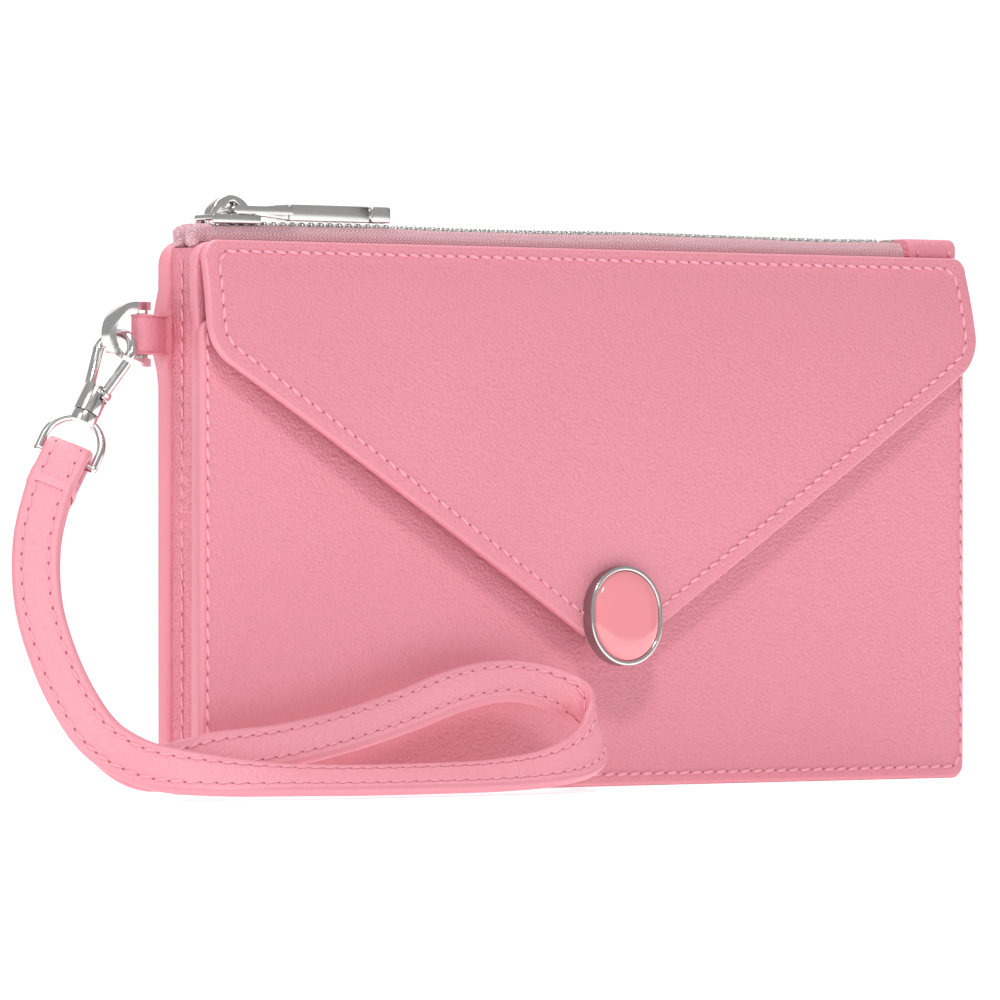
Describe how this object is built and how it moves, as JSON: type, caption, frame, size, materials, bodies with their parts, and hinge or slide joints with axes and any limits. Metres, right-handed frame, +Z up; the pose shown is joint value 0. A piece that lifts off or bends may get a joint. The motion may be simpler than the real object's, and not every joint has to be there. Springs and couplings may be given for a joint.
{
  "type": "wristlet wallet",
  "caption": "Slim leather wristlet wallet with envelope flap over a slip pocket, top zip, oval snap ornament, side ring, swivel snap hook and wrist strap.",
  "frame": {"origin": "middle of the flat base that the wallet stands on", "axes": "+X along the width towards the zip end tab, -Y towards the flap and front, +Z up"},
  "size_m": [0.2462, 0.05, 0.1233],
  "materials": {
    "leather": "smooth, fine grain, satin",
    "lining": "matt woven",
    "tape": "herringbone woven",
    "thread": "twisted thread",
    "nickel": "polished nickel plate",
    "spring_steel": "plain",
    "enamel": "glossy enamel"
  },
  "bodies": {
    "body": {"back_panel": "leather", "back_lining": "lining", "card_slot_top": "lining", "card_slot_middle": "lining", "card_slot_bottom": "lining", "front_panel": "leather", "front_lining": "lining", "pocket_panel": "leather", "bottom_panel": "leather", "gusset_left": "leather", "gusset_right": "leather", "flap_top_band": "leather", "magnet_pocket": "nickel", "zip_tape_front": "tape", "zip_tape_back": "tape", "zip_teeth_front": "nickel", "zip_teeth_back": "nickel", "zip_end_tab": "leather", "zip_end_stops": "nickel", "ring_tab": "leather"},
    "flap": {"flap_panel": "leather", "flap_lining": "lining", "magnet_flap": "nickel", "ornament_backplate": "nickel", "ornament_bezel": "nickel", "ornament_enamel": "enamel"},
    "zip_runner": {"zip_slider": "nickel", "zip_bridge": "nickel"},
    "zip_pull": {"pull_link": "nickel", "pull_bar": "nickel", "pull_end_cap": "nickel"},
    "ring": {"d_ring": "nickel"},
    "clasp": {"clasp_hook": "nickel", "gate_pin": "nickel", "gate_spring": "spring_steel"},
    "gate": {"clasp_gate": "nickel"},
    "swivel": {"swivel_post": "nickel", "swivel_loop": "nickel"},
    "strap": {"wrist_strap": "leather", "strap_bar_tack": "thread"}
  },
  "joints": [
    {"name": "flap_hinge", "type": "hinge", "parent": "body", "child": "flap", "pos_m": [0, -0.00775, 0.1102], "axis": [-1, 0, 0], "range_deg": [0, 165]},
    {"name": "zip_slide", "type": "slide", "parent": "body", "child": "zip_runner", "axis": [1, 0, 0], "range_m": [0, 0.166], "deforming": ["zip_teeth_front", "zip_teeth_back"]},
    {"name": "pull_flip", "type": "hinge", "parent": "zip_runner", "child": "zip_pull", "pos_m": [-0.0893, 0.00075, 0.1203], "axis": [0, -1, 0], "range_deg": [0, 175]},
    {"name": "ring_swing", "type": "hinge", "parent": "body", "child": "ring", "pos_m": [-0.1093, 0.0032, 0.0944], "axis": [0, 0, -1], "range_deg": [0, 70]},
    {"name": "clasp_swing", "type": "hinge", "parent": "ring", "child": "clasp", "pos_m": [-0.11599, 0.0032, 0.09067], "axis": [-0.6428, 0, 0.766], "range_deg": [-10, 15]},
    {"name": "gate_press", "type": "hinge", "parent": "clasp", "child": "gate", "pos_m": [-0.11997, 0.00113, 0.08189], "axis": [-0.8235, -0.342, 0.4527], "range_deg": [0, 11], "stiffness_Nm_per_rad": 0.02, "springref_deg": -2.86},
    {"name": "clasp_swivel", "type": "hinge", "parent": "clasp", "child": "swivel", "pos_m": [-0.12294, 0.0032, 0.07805], "axis": [-0.4818, 0, -0.8763], "range_deg": [0, 80]},
    {"name": "strap_fold", "type": "hinge", "parent": "swivel", "child": "strap", "pos_m": [-0.12797, 0.0032, 0.06889], "axis": [0.6583, -0.66, -0.3619], "range_deg": [0, 15]}
  ]
}
